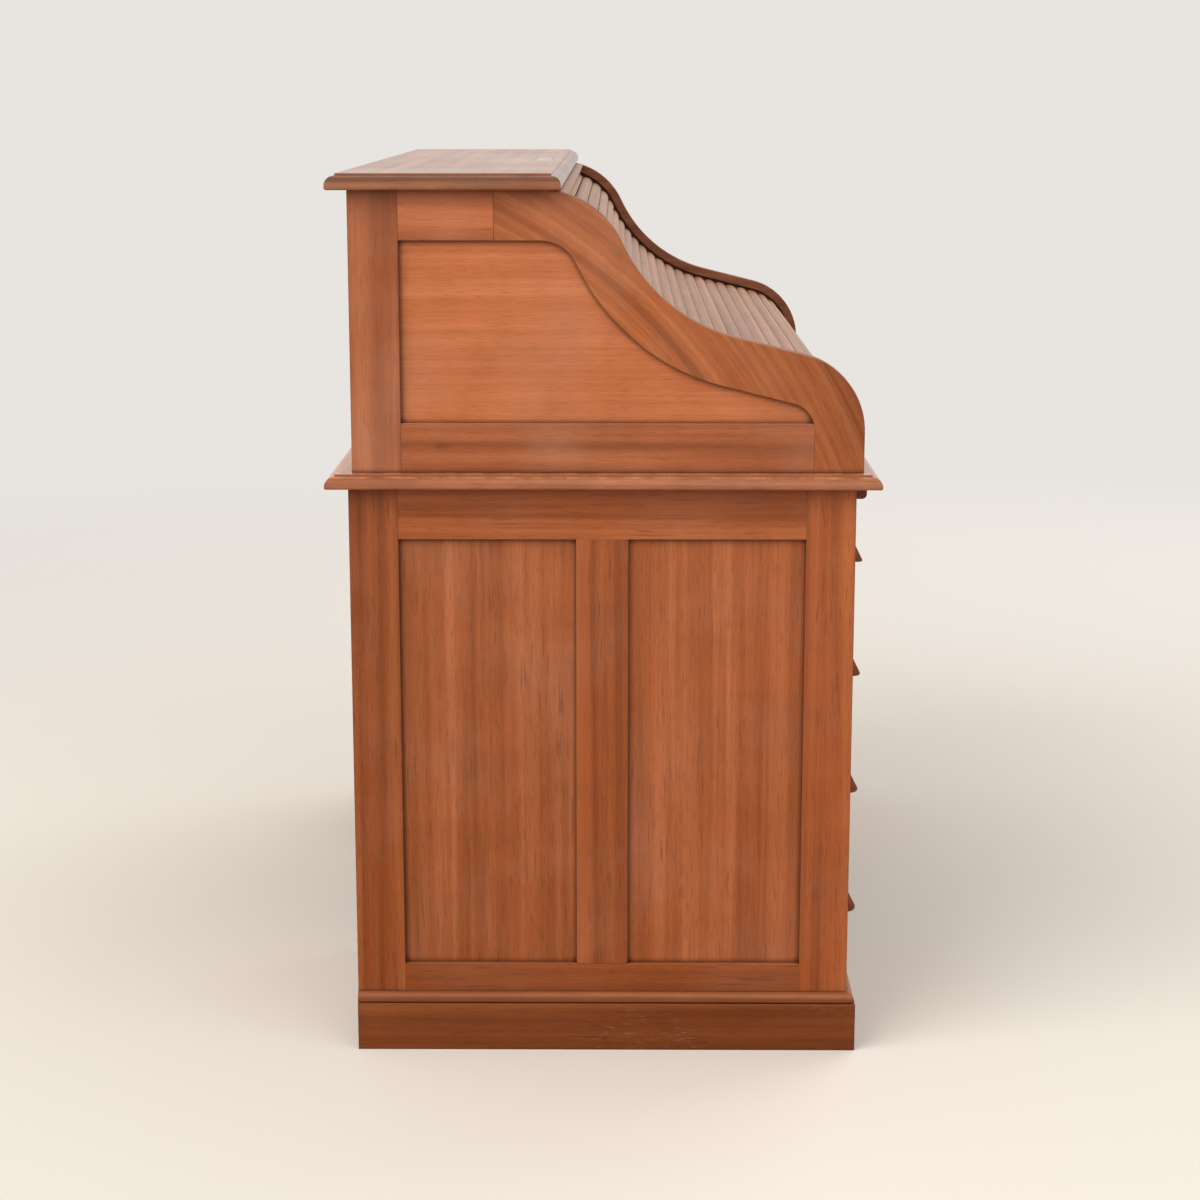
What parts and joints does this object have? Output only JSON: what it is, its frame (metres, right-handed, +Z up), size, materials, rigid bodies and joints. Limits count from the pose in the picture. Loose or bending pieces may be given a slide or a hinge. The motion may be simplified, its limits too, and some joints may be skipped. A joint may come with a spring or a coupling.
{
  "type": "roll-top desk",
  "caption": "Pedestal desk in mahogany with a slatted roll top on S-shaped panelled sides, drawers in both pedestals, pull-out slides and a pigeonhole fitting inside.",
  "frame": {"origin": "on the floor under the middle of the writing board", "axes": "+X along the desk to the sitter's right, the front faces -Y, +Z up"},
  "size_m": [1.296, 0.695, 1.132],
  "materials": {
    "mahogany": "satin french polish",
    "tambour_mahogany": "satin french polish, canvas backed",
    "pine": "planed and waxed",
    "brass": "aged"
  },
  "bodies": {
    "desk": {"writing_board": "mahogany", "top_board": "mahogany", "top_plate": "brass", "plinth_left": "mahogany", "plinth_right": "mahogany", "plinth_mouldings": "mahogany", "side_frame_left": "mahogany", "side_frame_right": "mahogany", "side_panels": "mahogany", "curved_rail_left": "mahogany", "curved_rail_right": "mahogany", "upper_frame_left": "mahogany", "upper_frame_right": "mahogany", "upper_panels": "mahogany", "back_frames": "mahogany", "back_panels": "mahogany", "inner_sides": "mahogany", "drawer_rails": "pine", "kneehole_bearers": "pine", "tambour_valance": "mahogany", "pigeonhole_case": "mahogany", "pigeonhole_dividers": "mahogany"},
    "drawer_left_1": {"drawer_left_1_front": "mahogany", "drawer_left_1_box": "pine"},
    "drawer_left_2": {"drawer_left_2_front": "mahogany", "drawer_left_2_box": "pine"},
    "drawer_left_3": {"drawer_left_3_front": "mahogany", "drawer_left_3_box": "pine"},
    "drawer_left_4": {"drawer_left_4_front": "mahogany", "drawer_left_4_box": "pine"},
    "slide_left": {"slide_left": "mahogany"},
    "small_drawer_left": {"small_drawer_left": "mahogany"},
    "drawer_right_1": {"drawer_right_1_front": "mahogany", "drawer_right_1_box": "pine"},
    "drawer_right_2": {"drawer_right_2_front": "mahogany", "drawer_right_2_box": "pine"},
    "drawer_right_3": {"drawer_right_3_front": "mahogany", "drawer_right_3_box": "pine"},
    "drawer_right_4": {"drawer_right_4_front": "mahogany", "drawer_right_4_box": "pine"},
    "slide_right": {"slide_right": "mahogany"},
    "small_drawer_right": {"small_drawer_right": "mahogany"},
    "kneehole_drawer": {"kneehole_drawer_front": "mahogany", "kneehole_drawer_box": "pine"},
    "lift_rail": {"lift_rail": "mahogany", "lift_pulls": "mahogany", "tambour_lock": "brass"},
    "tambour_slats_01": {"tambour_slats_01": "tambour_mahogany"},
    "tambour_slats_02": {"tambour_slats_02": "tambour_mahogany"},
    "tambour_slats_03": {"tambour_slats_03": "tambour_mahogany"},
    "tambour_slats_04": {"tambour_slats_04": "tambour_mahogany"},
    "tambour_slats_05": {"tambour_slats_05": "tambour_mahogany"},
    "tambour_slats_06": {"tambour_slats_06": "tambour_mahogany"},
    "tambour_slats_07": {"tambour_slats_07": "tambour_mahogany"},
    "tambour_slats_08": {"tambour_slats_08": "tambour_mahogany"},
    "tambour_slats_09": {"tambour_slats_09": "tambour_mahogany"},
    "tambour_slats_10": {"tambour_slats_10": "tambour_mahogany"},
    "tambour_slats_11": {"tambour_slats_11": "tambour_mahogany"},
    "tambour_slats_12": {"tambour_slats_12": "tambour_mahogany"},
    "tambour_slats_13": {"tambour_slats_13": "tambour_mahogany"}
  },
  "joints": [
    {"name": "drawer_left_1_slide", "type": "slide", "parent": "desk", "child": "drawer_left_1", "axis": [0, -1, 0], "range_m": [0, 0.42]},
    {"name": "drawer_left_2_slide", "type": "slide", "parent": "desk", "child": "drawer_left_2", "axis": [0, -1, 0], "range_m": [0, 0.42]},
    {"name": "drawer_left_3_slide", "type": "slide", "parent": "desk", "child": "drawer_left_3", "axis": [0, -1, 0], "range_m": [0, 0.42]},
    {"name": "drawer_left_4_slide", "type": "slide", "parent": "desk", "child": "drawer_left_4", "axis": [0, -1, 0], "range_m": [0, 0.42]},
    {"name": "slide_left_slide", "type": "slide", "parent": "desk", "child": "slide_left", "axis": [0, -1, 0], "range_m": [0, 0.3]},
    {"name": "small_drawer_left_slide", "type": "slide", "parent": "desk", "child": "small_drawer_left", "axis": [0, -1, 0], "range_m": [0, 0.12]},
    {"name": "drawer_right_1_slide", "type": "slide", "parent": "desk", "child": "drawer_right_1", "axis": [0, -1, 0], "range_m": [0, 0.42]},
    {"name": "drawer_right_2_slide", "type": "slide", "parent": "desk", "child": "drawer_right_2", "axis": [0, -1, 0], "range_m": [0, 0.42]},
    {"name": "drawer_right_3_slide", "type": "slide", "parent": "desk", "child": "drawer_right_3", "axis": [0, -1, 0], "range_m": [0, 0.42]},
    {"name": "drawer_right_4_slide", "type": "slide", "parent": "desk", "child": "drawer_right_4", "axis": [0, -1, 0], "range_m": [0, 0.42]},
    {"name": "slide_right_slide", "type": "slide", "parent": "desk", "child": "slide_right", "axis": [0, -1, 0], "range_m": [0, 0.3]},
    {"name": "small_drawer_right_slide", "type": "slide", "parent": "desk", "child": "small_drawer_right", "axis": [0, -1, 0], "range_m": [0, 0.12]},
    {"name": "kneehole_drawer_slide", "type": "slide", "parent": "desk", "child": "kneehole_drawer", "axis": [0, -1, 0], "range_m": [0, 0.32]},
    {"name": "tambour_lift", "type": "hinge", "parent": "desk", "child": "lift_rail", "pos_m": [0, 0.16653, 0.55165], "axis": [-1, 0, 0], "range_deg": [0, 46.66]},
    {"name": "tambour_slats_01_turn", "type": "hinge", "parent": "desk", "child": "tambour_slats_01", "pos_m": [0, 0.11342, 0.62587], "axis": [-1, 0, 0], "range_deg": [0, 55.67], "deforming": ["tambour_slats_01"]},
    {"name": "tambour_slats_02_turn", "type": "hinge", "parent": "desk", "child": "tambour_slats_02", "pos_m": [0, 0.24307, 0.40997], "axis": [-1, 0, 0], "range_deg": [0, 36.36], "deforming": ["tambour_slats_02"]},
    {"name": "tambour_slats_03_turn", "type": "hinge", "parent": "desk", "child": "tambour_slats_03", "pos_m": [0, 0.74055, -0.50918], "axis": [-1, 0, 0], "range_deg": [0, 14.48], "deforming": ["tambour_slats_03"]},
    {"name": "tambour_slats_04_turn", "type": "hinge", "parent": "desk", "child": "tambour_slats_04", "pos_m": [0, 0.76821, -0.56647], "axis": [-1, 0, 0], "range_deg": [0, 14.01], "deforming": ["tambour_slats_04"]},
    {"name": "tambour_slats_05_turn", "type": "hinge", "parent": "desk", "child": "tambour_slats_05", "pos_m": [0, 0.75141, -0.53545], "axis": [-1, 0, 0], "range_deg": [0, 14.35], "deforming": ["tambour_slats_05"]},
    {"name": "tambour_slats_06_turn", "type": "hinge", "parent": "desk", "child": "tambour_slats_06", "pos_m": [0, 0.24322, 0.5808], "axis": [-1, 0, 0], "range_deg": [0, 49.53], "deforming": ["tambour_slats_06"]},
    {"name": "tambour_slats_07_turn", "type": "hinge", "parent": "desk", "child": "tambour_slats_07", "pos_m": [0, 0.13337, 0.86288], "axis": [-1, 0, 0], "range_deg": [0, 109.96], "deforming": ["tambour_slats_07"]},
    {"name": "tambour_slats_08_turn", "type": "hinge", "parent": "desk", "child": "tambour_slats_08", "pos_m": [0, 0.12144, 0.90483], "axis": [-1, 0, 0], "range_deg": [0, 129.87], "deforming": ["tambour_slats_08"]},
    {"name": "tambour_slats_09_turn", "type": "hinge", "parent": "desk", "child": "tambour_slats_09", "pos_m": [0, 0.11989, 0.91972], "axis": [-1, 0, 0], "range_deg": [0, 139.03], "deforming": ["tambour_slats_09"]},
    {"name": "tambour_slats_10_turn", "type": "hinge", "parent": "desk", "child": "tambour_slats_10", "pos_m": [0, 0.12148, 0.9326], "axis": [-1, 0, 0], "range_deg": [0, 148.19], "deforming": ["tambour_slats_10"]},
    {"name": "tambour_slats_11_turn", "type": "hinge", "parent": "desk", "child": "tambour_slats_11", "pos_m": [0, 0.12091, 0.93289], "axis": [-1, 0, 0], "range_deg": [0, 148.85], "deforming": ["tambour_slats_11"]},
    {"name": "tambour_slats_12_turn", "type": "hinge", "parent": "desk", "child": "tambour_slats_12", "pos_m": [0, 0.09815, 0.89947], "axis": [-1, 0, 0], "range_deg": [0, 124.78], "deforming": ["tambour_slats_12"]},
    {"name": "tambour_slats_13_turn", "type": "hinge", "parent": "desk", "child": "tambour_slats_13", "pos_m": [0, 0.0603, 0.86256], "axis": [-1, 0, 0], "range_deg": [0, 100.7], "deforming": ["tambour_slats_13"]}
  ],
  "couplings": [
    {"joint": "tambour_slats_01_turn", "follows": "tambour_lift", "ratio": 1.1929},
    {"joint": "tambour_slats_02_turn", "follows": "tambour_lift", "ratio": 0.77903},
    {"joint": "tambour_slats_03_turn", "follows": "tambour_lift", "ratio": 0.31021},
    {"joint": "tambour_slats_04_turn", "follows": "tambour_lift", "ratio": 0.30006},
    {"joint": "tambour_slats_05_turn", "follows": "tambour_lift", "ratio": 0.30725},
    {"joint": "tambour_slats_06_turn", "follows": "tambour_lift", "ratio": 1.0614},
    {"joint": "tambour_slats_07_turn", "follows": "tambour_lift", "ratio": 2.3566},
    {"joint": "tambour_slats_08_turn", "follows": "tambour_lift", "ratio": 2.7834},
    {"joint": "tambour_slats_09_turn", "follows": "tambour_lift", "ratio": 2.9797},
    {"joint": "tambour_slats_10_turn", "follows": "tambour_lift", "ratio": 3.1761},
    {"joint": "tambour_slats_11_turn", "follows": "tambour_lift", "ratio": 3.19},
    {"joint": "tambour_slats_12_turn", "follows": "tambour_lift", "ratio": 2.6741},
    {"joint": "tambour_slats_13_turn", "follows": "tambour_lift", "ratio": 2.1582}
  ]
}
